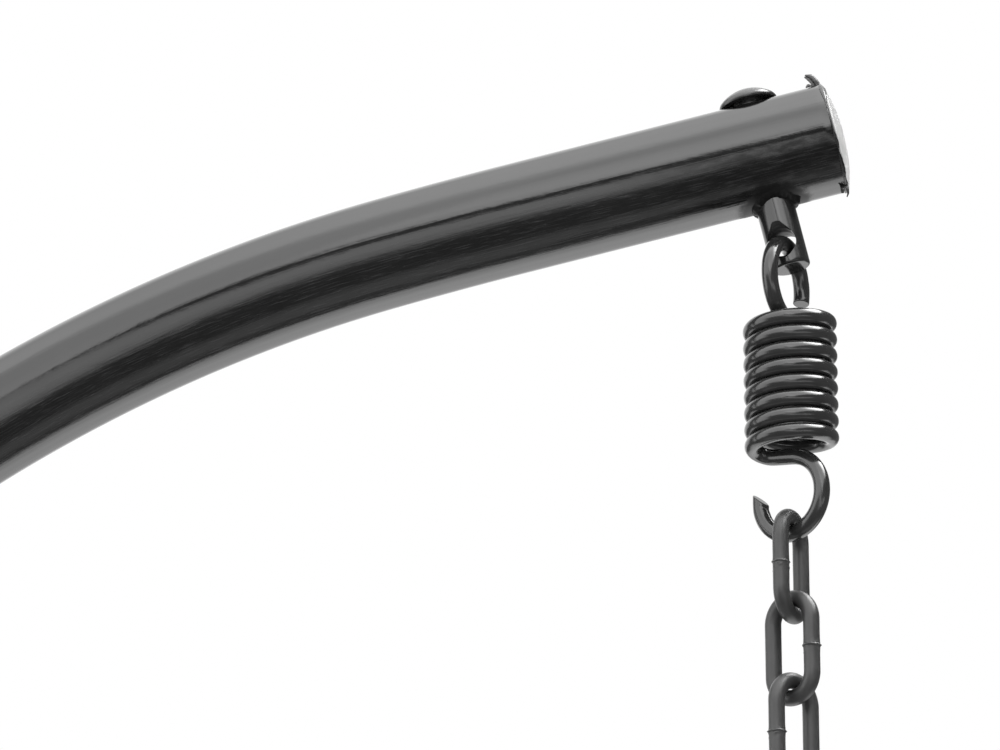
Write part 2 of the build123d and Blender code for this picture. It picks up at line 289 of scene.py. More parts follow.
# ---------------------------------------------------------------------------
# Materials
# ---------------------------------------------------------------------------
class Nodes:
    def __init__(self, name):
        self.mat = bpy.data.materials.new(name)
        self.mat.use_nodes = True
        self.nt = self.mat.node_tree
        self.bsdf = self.nt.nodes["Principled BSDF"]

    def add(self, kind, **props):
        n = self.nt.nodes.new(kind)
        for k, v in props.items():
            setattr(n, k, v)
        return n

    def link(self, a, b):
        self.nt.links.new(a, b)

    def coords(self, scale, use_uv=False):
        if use_uv:
            src = self.add("ShaderNodeUVMap", uv_map="Along").outputs["UV"]
        else:
            src = self.add("ShaderNodeTexCoord").outputs["Object"]
        m = self.add("ShaderNodeMapping")
        m.inputs["Scale"].default_value = scale
        self.link(src, m.inputs["Vector"])
        return m.outputs["Vector"]

    def noise(self, vec, scale, detail=3.0, rough=0.55, distortion=0.0):
        n = self.add("ShaderNodeTexNoise")
        n.inputs["Scale"].default_value = scale
        n.inputs["Detail"].default_value = detail
        n.inputs["Roughness"].default_value = rough
        n.inputs["Distortion"].default_value = distortion
        self.link(vec, n.inputs["Vector"])
        return n.outputs["Fac"]

    def ramp(self, fac, stops):
        r = self.add("ShaderNodeValToRGB")
        el = r.color_ramp.elements
        while len(el) < len(stops):
            el.new(0.5)
        for e, (pos, col) in zip(el, stops):
            e.position = pos
            e.color = (col, col, col, 1) if isinstance(col, (int, float)) else (*col, 1)
        self.link(fac, r.inputs["Fac"])
        return r.outputs["Color"]

    def math(self, op, a, b=None, clamp=False):
        n = self.add("ShaderNodeMath", operation=op, use_clamp=clamp)
        for i, v in enumerate((a, b)):
            if v is None:
                continue
            if isinstance(v, (int, float)):
                n.inputs[i].default_value = v
            else:
                self.link(v, n.inputs[i])
        return n.outputs[0]

    def maprange(self, v, a, b, c, d, smoothstep=True):
        n = self.add("ShaderNodeMapRange", interpolation_type="SMOOTHSTEP" if smoothstep else "LINEAR")
        self.link(v, n.inputs[0])
        for i, x in enumerate((a, b, c, d)):
            n.inputs[i + 1].default_value = x
        return n.outputs[0]

    def bump(self, height, strength, distance, prev=None):
        n = self.add("ShaderNodeBump")
        n.inputs["Strength"].default_value = strength
        n.inputs["Distance"].default_value = distance
        self.link(height, n.inputs["Height"])
        if prev is not None:
            self.link(prev, n.inputs["Normal"])
        return n.outputs["Normal"]

    def set(self, **kw):
        for k, v in kw.items():
            self.bsdf.inputs[k.replace("_", " ")].default_value = v


def black_coat(name, dark=0.010, light=0.018, rough=(0.10, 0.24), streak=(14, 900), streak_bump=0.00002,
               peel=0.000012, peel_scale=700, pits=0.0, pit_scale=300, spec=0.5):
    """Black powder coat or paint on steel. UV runs along the piece (U) and round it (V), in metres."""
    m = Nodes(name)
    along = m.coords((streak[0], streak[1], 1), True)
    plain = m.coords((1, 1, 1))
    st = m.noise(along, 1.0, 4.0, 0.6)
    pe = m.noise(plain, peel_scale, 2.0, 0.5)
    big = m.noise(plain, 60.0, 3.0, 0.6)
    fine = m.noise(plain, 2600.0, 2.0, 0.6)
    mix = m.math("MULTIPLY_ADD", st, 0.6)
    m.nt.nodes[-1].inputs[2].default_value = 0.0
    tone = m.math("ADD", m.math("MULTIPLY", st, 0.45), m.math("MULTIPLY", big, 0.55))
    m.link(m.ramp(tone, [(0.32, dark), (0.55, (dark + light) / 2), (0.72, light)]), m.bsdf.inputs["Base Color"])
    rr = m.math("ADD", m.math("MULTIPLY", st, 0.5), m.math("ADD", m.math("MULTIPLY", big, 0.35), m.math("MULTIPLY", fine, 0.15)))
    m.link(m.maprange(rr, 0.30, 0.72, rough[0], rough[1]), m.bsdf.inputs["Roughness"])
    n = m.bump(st, 1.0, streak_bump)
    n = m.bump(pe, 1.0, peel, n)
    if pits:
        v = m.add("ShaderNodeTexVoronoi", feature="F1")
        v.inputs["Scale"].default_value = pit_scale
        m.link(plain, v.inputs["Vector"])
        d = m.maprange(v.outputs["Distance"], 0.0, 0.22, 0.0, 1.0)
        n = m.bump(d, 1.0, pits, n)
    m.link(n, m.bsdf.inputs["Normal"])
    m.set(Specular_IOR_Level=spec)
    return m.mat


MAT = {}
def arm_mat():
    """Gloss black coat on the arm. U runs along the tube, V round it (bottom .038, near side .075, top .113 m)."""
    m = Nodes("arm_black_gloss")
    plain = m.coords((1, 1, 1))
    uv = m.add("ShaderNodeUVMap", uv_map="Along").outputs["UV"]
    sep = m.add("ShaderNodeSeparateXYZ")
    m.link(uv, sep.inputs[0])
    long_streak = m.noise(m.coords((9, 700, 1), True), 1.0, 4.0, 0.6)
    fine_streak = m.noise(m.coords((55, 2600, 1), True), 1.0, 3.0, 0.65)
    peel = m.noise(m.coords((130, 420, 1), True), 1.0, 3.0, 0.55)
    grain = m.noise(plain, 2400.0, 2.0, 0.6)
    big = m.noise(plain, 45.0, 3.0, 0.6)
    # rubbed, scuffed coat on the lower near side; the lighter grey mixed into the scratches is partly painted sheen,
    # standing for glints along them
    scuff_and_sheen_band = m.math("MULTIPLY", m.maprange(sep.outputs[1], 0.044, 0.052, 0, 1), m.maprange(sep.outputs[1], 0.066, 0.074, 1, 0))
    scratch_and_sheen_noise = m.noise(m.coords((70, 1900, 1), True), 1.0, 5.0, 0.72, 0.4)
    scratch_and_sheen = m.math("MULTIPLY", scuff_and_sheen_band, m.maprange(scratch_and_sheen_noise, 0.50, 0.66, 0, 1))
    tone = m.math("ADD", m.math("MULTIPLY", long_streak, 0.5), m.math("MULTIPLY", big, 0.5))
    base = m.ramp(tone, [(0.30, 0.0045), (0.55, 0.008), (0.75, 0.012)])
    mix = m.add("ShaderNodeMixRGB")
    m.link(m.math("MULTIPLY", scratch_and_sheen, 0.55), mix.inputs[0])
    m.link(base, mix.inputs[1])
    # lighter grey of the scratches: partly painted sheen
    mix.inputs[2].default_value = (0.045, 0.045, 0.046, 1)
    # painted shade: a darker, rougher, less reflective ring on the tube round the pin's root, where the pin's dark
    # reflection and shadow fall
    pos = m.add("ShaderNodeTexCoord").outputs["Object"]
    off = m.add("ShaderNodeVectorMath", operation="SUBTRACT")
    m.link(pos, off.inputs[0])
    wc = M(DDIR * 24.0)
    off.inputs[1].default_value = tuple(wc)
    dist = m.add("ShaderNodeVectorMath", operation="LENGTH")
    m.link(off.outputs[0], dist.inputs[0])
    wob = m.math("MULTIPLY", m.math("SUBTRACT", m.noise(plain, 260.0, 3.0, 0.6), 0.5), 0.006)
    # painted shade ring round the pin's root
    pin_root_shade = m.maprange(m.math("ADD", dist.outputs["Value"], wob), 0.0135, 0.0185, 1, 0)
    mix2 = m.add("ShaderNodeMixRGB")
    m.link(m.math("MULTIPLY", pin_root_shade, 0.8), mix2.inputs[0])
    m.link(mix.outputs[0], mix2.inputs[1])
    mix2.inputs[2].default_value = (0.006, 0.006, 0.006, 1)
    m.link(mix2.outputs[0], m.bsdf.inputs["Base Color"])
    rough = m.maprange(m.math("ADD", m.math("MULTIPLY", long_streak, 0.6), m.math("MULTIPLY", grain, 0.4)), 0.32, 0.70, 0.030, 0.085)
    rough = m.math("ADD", rough, m.math("MULTIPLY", scratch_and_sheen, 0.22))
    # a patch on the lower near side towards the tip, a little rougher and much less reflective, so its reflection is
    # darker
    low_gloss_patch = m.math("MULTIPLY", m.maprange(sep.outputs[1], 0.048, 0.056, 0, 1), m.maprange(sep.outputs[1], 0.0718, 0.0730, 1, 0))
    low_gloss_patch = m.math("MULTIPLY", low_gloss_patch, m.maprange(sep.outputs[0], 0.020, 0.110, 1, 0))
    patch = m.maprange(m.noise(m.coords((60, 150, 1), True), 1.0, 4.0, 0.65), 0.38, 0.58, 0.35, 1)
    low_gloss_patch = m.math("MULTIPLY", low_gloss_patch, patch)
    rough = m.math("ADD", rough, m.math("MULTIPLY", low_gloss_patch, 0.04))
    rough = m.math("ADD", rough, m.math("MULTIPLY", pin_root_shade, 0.35))
    m.link(rough, m.bsdf.inputs["Roughness"])
    spec = m.math("SUBTRACT", 0.5, m.math("MULTIPLY", pin_root_shade, 0.36))
    spec = m.math("SUBTRACT", spec, m.math("MULTIPLY", low_gloss_patch, 0.34))
    m.link(m.math("MAXIMUM", spec, 0.08), m.bsdf.inputs["Specular IOR Level"])
    n = m.bump(long_streak, 1.0, 0.000045)
    n = m.bump(peel, 1.0, 0.000040, n)
    n = m.bump(fine_streak, 1.0, 0.0000050, n)
    n = m.bump(m.math("MULTIPLY", scratch_and_sheen_noise, scuff_and_sheen_band), 1.0, 0.000030, n)
    m.link(n, m.bsdf.inputs["Normal"])
    return m.mat


MAT["arm"] = arm_mat()
MAT["pin"] = black_coat("pin_black_gloss", 0.012, 0.022, (0.09, 0.17), (40, 300), 0.000012, 0.000014, 900)
MAT["head"] = black_coat("pin_head_black", 0.020, 0.034, (0.22, 0.34), (40, 300), 0.000012, 0.000030, 700)
MAT["bore"] = black_coat("pin_bore_black", 0.020, 0.034, (0.34, 0.50), (40, 300), 0.000012, 0.000020, 900, 0.0, 300, 0.25)
MAT["wire"] = black_coat("spring_black", 0.020, 0.034, (0.11, 0.22), (30, 900), 0.000018, 0.000018, 900, 0.00001, 520)
MAT["chain"] = black_coat("chain_black", 0.027, 0.044, (0.34, 0.50), (45, 900), 0.000012, 0.000022, 1000, 0.00005, 360, 0.42)
MAT["weld"] = black_coat("weld_black", 0.004, 0.008, (0.30, 0.50), (200, 200), 0.00002, 0.00006, 1400, 0.0, 300, 0.18)


def film_mat():
    m = Nodes("torn_black_film")
    plain = m.coords((1, 1, 1))
    a = m.noise(plain, 320.0, 4.0, 0.6)
    b = m.noise(plain, 1500.0, 2.0, 0.6)
    m.link(m.ramp(a, [(0.35, 0.007), (0.6, 0.014), (0.8, 0.03)]), m.bsdf.inputs["Base Color"])
    m.link(m.maprange(b, 0.3, 0.7, 0.20, 0.42), m.bsdf.inputs["Roughness"])
    m.link(m.bump(b, 1.0, 0.00002, m.bump(a, 1.0, 0.00012)), m.bsdf.inputs["Normal"])
    m.set(Specular_IOR_Level=0.5)
    return m.mat


def plug_mat():
    m = Nodes("pale_plug")
    plain = m.coords((1, 1, 1))
    a = m.noise(plain, 90.0, 4.0, 0.6)
    b = m.noise(plain, 1200.0, 2.0, 0.6)
    m.link(m.ramp(a, [(0.3, (0.60, 0.60, 0.595)), (0.55, (0.69, 0.69, 0.685)), (0.8, (0.77, 0.77, 0.765))]), m.bsdf.inputs["Base Color"])
    m.link(m.maprange(a, 0.3, 0.7, 0.30, 0.46), m.bsdf.inputs["Roughness"])
    m.link(m.bump(b, 1.0, 0.00002, m.bump(a, 1.0, 0.0001)), m.bsdf.inputs["Normal"])
    return m.mat


def zinc_mat(name, scale=(1, 1, 1), rough=(0.22, 0.42)):
    m = Nodes(name)
    plain = m.coords(scale)
    a = m.noise(plain, 420.0, 4.0, 0.6)
    b = m.noise(plain, 60.0, 3.0, 0.6)
    t = m.math("ADD", m.math("MULTIPLY", a, 0.4), m.math("MULTIPLY", b, 0.6))
    m.link(m.ramp(t, [(0.30, (0.42, 0.43, 0.44)), (0.5, (0.56, 0.57, 0.58)), (0.72, (0.66, 0.67, 0.67))]), m.bsdf.inputs["Base Color"])
    m.link(m.maprange(t, 0.3, 0.7, rough[0], rough[1]), m.bsdf.inputs["Roughness"])
    m.link(m.bump(a, 1.0, 0.000015), m.bsdf.inputs["Normal"])
    m.set(Metallic=1.0)
    return m.mat


MAT["film"] = film_mat()
MAT["plug"] = plug_mat()
MAT["zinc"] = zinc_mat("zinc_bright")
MAT["spigot"] = zinc_mat("zinc_drawn_tube", (6, 6, 0.35), (0.26, 0.46))


def paint(ob, mat):
    ob.data.materials.clear()
    ob.data.materials.append(mat)


def paint_node(node, mat):
    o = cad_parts[node]
    for sl in o.material_slots:
        sl.material = mat
    if not o.material_slots:
        o.data.materials.append(mat)


# ---------------------------------------------------------------------------
# Arm tube: one bent tube, open at its tip, with a rolled inner edge
# ---------------------------------------------------------------------------
def arm_line(step=4.0):
    """Centreline from the tip back to the foot, with its arc length."""
    pts = []
    n = int((OVERHANG + STRAIGHT) / step)
    for i in range(n):
        pts.append(TDIR * (OVERHANG - (OVERHANG + STRAIGHT) * i / n))
    p = TDIR * -STRAIGHT
    ang = SLOPE
    for R, turn in ((B1R, B1D), (B2R, math.pi / 2 - SLOPE - B1D)):
        n = max(3, int(R * turn / step))
        start = ang
        for i in range(n):
            a = start + turn * i / n
            pts.append(p + R * np.array([-(math.sin(a) - math.sin(start)), 0, -(math.cos(start) - math.cos(a))]))
        p = p + R * np.array([-(math.sin(start + turn) - math.sin(start)), 0, -(math.cos(start) - math.cos(start + turn))])
        ang = start + turn
    n = int(FOOT / step)
    for i in range(n + 1):
        pts.append(p + np.array([0, 0, -FOOT * i / n]))
    return np.array(pts)


def make_arm():
    line = arm_line()
    tan, A, B = frames(line, up=[0, 1, 0])
    s = lengths(line)
    nseg = 128
    phi = np.arange(nseg) * 2 * math.pi / nseg
    rings, sv = [], []

    def ring(i, r, shift=0.0):
        return line[i] + tan[i] * shift + r * (np.cos(phi)[:, None] * A[i] + np.sin(phi)[:, None] * B[i])

    ri = TUBE_R - WALL
    # outer wall from the tip to the foot, then back up the inside; both rims are rounded
    rim = 0.55
    for j in range(5):
        a = math.pi / 2 * j / 4
        rings.append(ring(0, TUBE_R - rim * (1 - math.sin(a)), rim * (1 - math.cos(a)) - 0.0)); sv.append(s[0])
    for i in range(1, len(line) - 1):
        rings.append(ring(i, TUBE_R)); sv.append(s[i])
    e = len(line) - 1
    for j in range(5):
        a = math.pi / 2 * j / 4
        rings.append(ring(e, TUBE_R - rim * (1 - math.cos(a)), -rim * (1 - math.sin(a)))); sv.append(s[e])
    for j in range(5):
        a = math.pi / 2 * j / 4
        rings.append(ring(e, ri + rim * (1 - math.sin(a)), -rim * (1 - math.cos(a)))); sv.append(s[e] + WALL)
    for i in range(len(line) - 2, 0, -3):
        rings.append(ring(i, ri)); sv.append(s[e] + WALL + (s[e] - s[i]))
    rings.append(ring(0, ri, rim)); sv.append(2 * s[e])
    rings.append(ring(0, ri + rim, 0.0)); sv.append(2 * s[e] + 1)
    nr = len(rings)
    verts = np.concatenate(rings)
    circ = 2 * math.pi * TUBE_R / 1000
    faces, fuv = [], []
    for i in range(nr):
        j = (i + 1) % nr
        for k in range(nseg):
            l = (k + 1) % nseg
            faces.append((i * nseg + k, j * nseg + k, j * nseg + l, i * nseg + l))
            u0, u1 = sv[i] / 1000, (sv[j] if j else 2 * s[e] + 2) / 1000
            fuv += [(u0, circ * k / nseg), (u1, circ * k / nseg), (u1, circ * (k + 1) / nseg), (u0, circ * (k + 1) / nseg)]
    ob = uv_faces("arm_tube_skin", M(verts), faces, fuv)
    fix_normals(ob)
    paint(ob, MAT["arm"])
    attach(ob, "arm")
    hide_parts("arm_tube")
    return ob


arm = make_arm()

# ---------------------------------------------------------------------------
# Spring: one wire from the cut end of the top loop to the tip of the hook
# ---------------------------------------------------------------------------
COIL_R, PITCH, COIL_X, Z0, B0, B1, LAPS = 16.7, 7.28, 10.6, -76.8, 32.0, 180.0, 8
LOOP_R, LOOP_X, LOOP_Z, LOOP_AZ, LOOP_END = 16.7, 9.25, -57.6, 111.3, 197.0
HOOK_R, HOOK_RI, HOOK_X, HOOK_Z, HOOK_AZ, HOOK_A0, HOOK_END = 17.0, 15.7, 9.4, -152.9, 35.0, 82.0, 186.0
BEND = 6.0


def arc(c, u, r, a0, a1, step=1.0):
    n = max(2, int(abs(a1 - a0) * math.pi / 180 * r / step))
    a = np.radians(np.linspace(a0, a1, n + 1))
    return c + r * (np.cos(a)[:, None] * u + np.sin(a)[:, None] * ZV)


def corner(a, k, b, rho, step=0.7):
    d1 = (k - a) / np.linalg.norm(k - a)
    d2 = (b - k) / np.linalg.norm(b - k)
    turn = math.acos(np.clip(d1 @ d2, -1, 1))
    tl = rho * math.tan(turn / 2)
    p1, p2 = k - d1 * tl, k + d2 * tl
    nn = d2 - d1 * (d1 @ d2)
    nn /= np.linalg.norm(nn)
    c = p1 + nn * rho
    n = int(rho * turn / step)
    t = np.linspace(0, turn, n + 1)
    return np.array([c - nn * rho * math.cos(x) + d1 * rho * math.sin(x) for x in t])


def plan_cross(p, d, q, e):
    m = np.array([[d[0], -e[0]], [d[1], -e[1]]])
    return np.linalg.solve(m, (q - p)[:2])


def fill(a, b, step=1.0):
    n = max(2, int(np.linalg.norm(b - a) / step))
    return a + (b - a) * np.linspace(0, 1, n + 1)[:, None]


def helix_pt(beta):
    b = math.radians(beta)
    return np.array([COIL_X + COIL_R * math.cos(b), COIL_R * math.sin(b), Z0 + PITCH * beta / 360.0])


def spring_line():
    u = azv(LOOP_AZ)
    lc = np.array([LOOP_X, 0, LOOP_Z])
    loop = arc(lc, u, LOOP_R, LOOP_END, -90)
    low = loop[-1]
    P = helix_pt(B0)
    b = math.radians(B0)
    up = np.array([-math.sin(b), math.cos(b), 0])
    s, t = plan_cross(P, up, low, -u)
    K = P + up * s
    K[2] = low[2]
    bend1 = corner(low, K, P, BEND)
    A = np.arange(B0, B1 - 360 * LAPS - 1e-6, -3.0)
    coil = np.array([helix_pt(a) for a in A])
    u2 = azv(HOOK_AZ)
    hc = np.array([HOOK_X, 0, HOOK_Z])
    hc2 = hc - ZV * (HOOK_R - HOOK_RI)
    Q = coil[-1]
    b = math.radians(B1)
    dn = np.array([math.sin(b), -math.cos(b), 0])
    hook = arc(hc, u2, HOOK_R, HOOK_A0, -90)
    H = hook[0]
    ht = u2 * math.sin(math.radians(HOOK_A0)) - ZV * math.cos(math.radians(HOOK_A0))
    s, t = plan_cross(Q, dn, H, -ht)
    K2 = H - ht * t
    bend2 = corner(Q, K2, H, BEND)
    hook2 = arc(hc2, u2, HOOK_RI, -90, -HOOK_END)
    line = np.vstack([loop[:-1], fill(low, bend1[0])[:-1], bend1[:-1], fill(bend1[-1], coil[0], 0.7)[:-1], coil[:-1],
                      fill(coil[-1], bend2[0], 0.7)[:-1], bend2[:-1], fill(bend2[-1], H)[:-1], hook[:-1], hook2])
    # ease the small kinks where the runs meet, without moving the ends
    keep = np.concatenate([[True], np.linalg.norm(np.diff(line, axis=0), axis=1) > 0.15])
    line = line[keep]
    s = lengths(line)
    g = np.linspace(0, s[-1], int(s[-1] / 0.9))
    line = np.stack([np.interp(g, s, line[:, i]) for i in range(3)], 1)
    for _ in range(3):
        line[1:-1] = 0.25 * line[:-2] + 0.5 * line[1:-1] + 0.25 * line[2:]
    return line


def make_spring():
    line = spring_line()
    n = len(line)
    s = lengths(line)
    tan, A, B = frames(line)

    def rad(i, k, si, ph):
        # drawn wire: faint waviness
        p = line[i] + 3.5 * (math.cos(ph) * A[i] + math.sin(ph) * B[i])
        return WIRE + 0.03 * nz(p, 0.35, 3.0)

    def cut(i, r):
        # not used: the hook's free end is sheared at an angle below, outer edge longest
        return r

    ob = tube("spring_wire", line, rad, 36, cap=0.5)
    # slanted shear at the hook's free end
    me = ob.data
    co = np.array([v.co for v in me.vertices])
    tip = M(line[-1])
    t = tan[-1]
    out = tip - M(np.array([HOOK_X, 0, HOOK_Z - 1.3]))
    out -= t * (out @ t)
    out /= np.linalg.norm(out)
    d = co - tip
    along = d @ t
    side = d @ out
    rest = d - np.outer(along, t) - np.outer(side, out)
    near = (np.linalg.norm(d, axis=1) < 0.012) & (along > -0.006)
    shift = side * 0.80
    w = smooth(along, -0.0055, 0.0003)
    co[near] += (t[None] * (shift * w)[:, None])[near]
    me.vertices.foreach_set("co", co.astype(np.float32).ravel())
    me.update()
    paint(ob, MAT["wire"])
    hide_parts("spring_top_loop", "spring_coil", "spring_hook")
    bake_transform(ob)
    return ob


spring = make_spring()

# ---------------------------------------------------------------------------
# Chain: welded links, each with the flash left by its butt weld
# ---------------------------------------------------------------------------
LINK_LEN, LINK_R, LINK_X, GAP = 49.8, 10.25, 9.3, 0.3
LINK_AZ = [111.6, 36.0, 131.0, 38.0, 124.0, 30.0, 112.0, 14.0, 90.0]
HALF = LINK_LEN / 2 - WIRE
ST = HALF - LINK_R
# which leg carries the weld (+1 is the leg on the +u side), and how far above the middle it sits
WELD_SIDE = [1, 1, 1, -1, 1, -1, -1, 1, 1]
WELD_OFF = [-0.6, -0.6, -2.0, 0.8, -0.6, 1.0, 0.4, -0.8, 0.9]


def link_line(cx, cz, az, side, off):
    """Closed centreline that starts just past the weld, with rings crowded at the weld."""
    u = azv(az) * side
    c = np.array([cx, 0, cz])
    a = np.radians(np.linspace(0, 180, 46))
    top = c + ZV * ST + LINK_R * (np.cos(a)[:, None] * u + np.sin(a)[:, None] * ZV)
    a = np.radians(np.linspace(180, 360, 46))
    bot = c - ZV * ST + LINK_R * (np.cos(a)[:, None] * u + np.sin(a)[:, None] * ZV)
    w = off
    z_up = np.concatenate([np.linspace(w - 3, w - 1.0, 7), np.linspace(w - 0.9, w + 0.9, 19), np.linspace(w + 1.0, w + 3, 7)])
    lo = np.linspace(-ST, w - 3, 10)[1:-1]
    hi = np.linspace(w + 3, ST, 10)[1:-1]
    leg = np.array([c + u * LINK_R + ZV * z for z in np.concatenate([lo, z_up, hi])])
    leg2 = np.array([c - u * LINK_R + ZV * z for z in np.linspace(ST, -ST, 26)[1:-1]])
    return np.vstack([leg, top, leg2, bot]), u, c, w


def make_link(i, cz):
    side, off = WELD_SIDE[i], WELD_OFF[i]
    line, u, c, w = link_line(LINK_X, cz, LINK_AZ[i], side, off)
    tan, A, B = frames(line, True)
    seed = 11.0 * (i + 1)
    # the flash is a thin, torn collar, and the wire beside it is slightly upset
    wcen = c + u * LINK_R + ZV * w

    def rad(j, k, s, ph):
        dirv = math.cos(ph) * A[j] + math.sin(ph) * B[j]
        p = line[j] + 3.5 * dirv
        r = WIRE - 0.02 + 0.035 * nz(p, 0.22, seed) + 0.015 * nz(p, 0.9, seed)
        on_leg = abs((line[j] - c) @ u - LINK_R) < 0.01
        if on_leg:
            d = (line[j] - wcen)[2]
            wav = 0.35 * nz(dirv * 2.2, 1.0, seed + 5)
            amp = 0.42 + 0.38 * nz(dirv * 1.4, 1.0, seed + 9) + 0.25 * nz(dirv * 4.0, 1.0, seed + 2)
            amp = max(0.05, amp)
            r += amp * math.exp(-((d - wav) / 0.34) ** 2)
            r += 0.12 * math.exp(-((d) / 1.9) ** 2)
            # smaller spatter beside the seam
            sp = nz(p, 0.8, seed + 20)
            if sp > 0.32:
                r += (sp - 0.32) * 1.1 * math.exp(-((d + 2.0) / 2.4) ** 2)
        return r

    ob = tube("link_%d" % (i + 1), line, rad, 40, closed=True)
    paint(ob, MAT["chain"])
    node = "chain_link_%d" % (i + 1)
    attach(ob, "link_%d" % (i + 1))
    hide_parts(node)
    return ob


z = HOOK_Z - HOOK_R + 7.0 + GAP
LINK_Z = []
for i in range(len(LINK_AZ)):
    cz = z - HALF
    LINK_Z.append(cz)
    make_link(i, cz)
    z = cz - HALF + 7.0 + GAP

# ---------------------------------------------------------------------------
# Eye pin: domed head, shank and cross hole, edges rounded
# ---------------------------------------------------------------------------
def make_pin():
    seat, head_r, rim, dome = 24.02, 12.8, 1.8, 5.4
    prof = [(0, PIN_BELOW), (PIN_R, PIN_BELOW), (PIN_R, -seat)]
    prof = rounded(prof, [0, 1.2, 0], 6)[:-1]
    # the shank needs rings of its own so that the cross hole cuts cleanly
    for h in np.concatenate([np.linspace(PIN_BELOW - 2, 32, 58), np.linspace(31, -seat + 0.6, 24)]):
        prof.append((PIN_R, float(h)))
    prof += [(PIN_R, -seat)]
    H = rim + dome
    R = (head_r ** 2 + dome ** 2) / (2 * dome)
    prof += [(head_r - 0.7, -seat), (head_r - 0.2, -seat - 0.18), (head_r, -seat - 0.7), (head_r, -seat - rim + 0.5)]
    a1 = math.asin(head_r / R)
    for j in range(1, 18):
        a = a1 * (1 - j / 18) 
        r = R * math.sin(a)
        hh = -seat - rim - dome + R - R * math.cos(a)
        prof.append((r, hh))
    prof.append((0, -seat - H))
    ob = lathe("pin_shank_and_head", prof, np.zeros(3), DDIR, TDIR, 128)
    # cross hole with flared, rounded mouths
    t = math.radians(13.0)
    dip = math.radians(2.0)
    hdir = (-YDIR * math.cos(t) - TDIR * math.sin(t)) * math.cos(dip) - DDIR * math.sin(dip)
    hr = 6.25
    cut = []
    for y in np.linspace(-11.5, 11.5, 93):
        f = max(0.0, abs(y) - 5.6)
        flare = 2.9 - math.sqrt(max(0.0, 2.9 ** 2 - min(f, 2.88) ** 2)) if f < 2.88 else 2.6 + (f - 2.88) * 1.4
        neck = 0.5 * (1 - float(smooth(abs(y), 2.0, 6.0)))
        cut.append((hr - neck + flare, float(y)))
    cut = [(0, -11.5)] + cut + [(0, 11.5)]
    x = np.cross(hdir, TDIR)
    cutter = lathe("pin_hole_cutter", cut, DDIR * (HOLE_AT + 0.8), hdir, x / np.linalg.norm(x), 96)
    mod = ob.modifiers.new("hole", "BOOLEAN")
    mod.operation = "DIFFERENCE"
    mod.solver = "EXACT"
    mod.object = cutter
    bpy.context.view_layer.update()
    dg = bpy.context.evaluated_depsgraph_get()
    me = bpy.data.meshes.new_from_object(ob.evaluated_get(dg))
    ob.modifiers.clear()
    ob.data = me
    bpy.data.objects.remove(cutter)
    me.polygons.foreach_set("use_smooth", [True] * len(me.polygons))
    me.update()
    try:
        me.set_sharp_from_angle(angle=math.radians(40))
    except Exception:
        pass
    paint(ob, MAT["pin"])
    me.materials.append(MAT["head"])
    me.materials.append(MAT["bore"])
    for poly in me.polygons:
        q = np.array(poly.center) * 1000.0 - ORIGIN
        h = float(q @ DDIR)
        rad = float(np.linalg.norm(q - DDIR * h))
        if h < -seat + 0.5 and rad > PIN_R + 0.3 or h < -seat - 0.2:
            poly.material_index = 1
        elif rad < PIN_R - 0.9 and abs(h - HOLE_AT) < 7.5:
            poly.material_index = 2
        else:
            poly.material_index = 0
    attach(ob, "arm")
    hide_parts("eye_pin")
    return ob


pin = make_pin()


